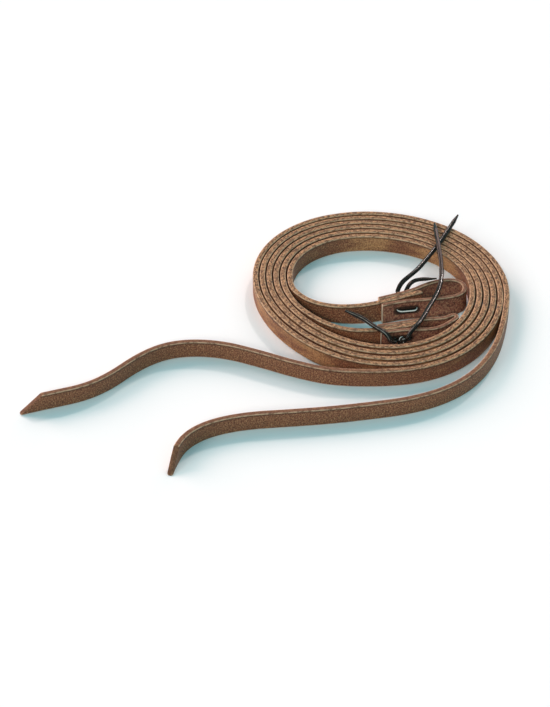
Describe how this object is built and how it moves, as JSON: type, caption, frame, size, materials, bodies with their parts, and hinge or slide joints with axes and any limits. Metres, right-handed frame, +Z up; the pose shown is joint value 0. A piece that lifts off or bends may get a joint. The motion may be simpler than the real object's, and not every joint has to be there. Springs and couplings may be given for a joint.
{
  "type": "split reins",
  "caption": "Heavy leather split reins standing on edge in one nested coil, with folded bit loops laced on by leather ties.",
  "frame": {"origin": "centre of the bottom face of the bounding box, on the ground the reins lie on", "axes": "+Z up, out of the ground; +X to the right along the longest extent and +Y away, with the loose tails pointing to -X"},
  "size_m": [0.4115, 0.3388, 0.0233],
  "materials": {
    "rein_leather": "oiled harness leather, smooth grain faces, lighter raw edges",
    "loop_leather": "oiled harness leather, smooth grain faces, lighter raw edges",
    "tie_leather": "dark waxed latigo lace, semi-gloss"
  },
  "bodies": {
    "rein_b": {"rein_b_strap": "rein_leather", "rein_b_bit_loop": "loop_leather", "rein_b_tie": "tie_leather", "rein_b_tie_short_end": "tie_leather"},
    "rein_a": {"rein_a_strap": "rein_leather", "rein_a_bit_loop": "loop_leather", "rein_a_tie": "tie_leather", "rein_a_tie_long_end": "tie_leather", "rein_a_tie_short_end": "tie_leather"},
    "rein_b_long_tie": {"rein_b_tie_long_end": "tie_leather"}
  },
  "joints": [
    {"name": "rein_a_lift", "type": "slide", "parent": "rein_b", "child": "rein_a", "axis": [0, 0, 1], "range_m": [0, 0.06]},
    {"name": "rein_b_tie_swing", "type": "hinge", "parent": "rein_b", "child": "rein_b_long_tie", "pos_m": [0.11435, -0.01036, 0.012], "axis": [0.8793, -0.4762, 0], "range_deg": [0, 75]}
  ],
  "couplings": [
    {"joint": "rein_b_tie_swing", "follows": "rein_a_lift", "rad_per_m": 21.5}
  ]
}
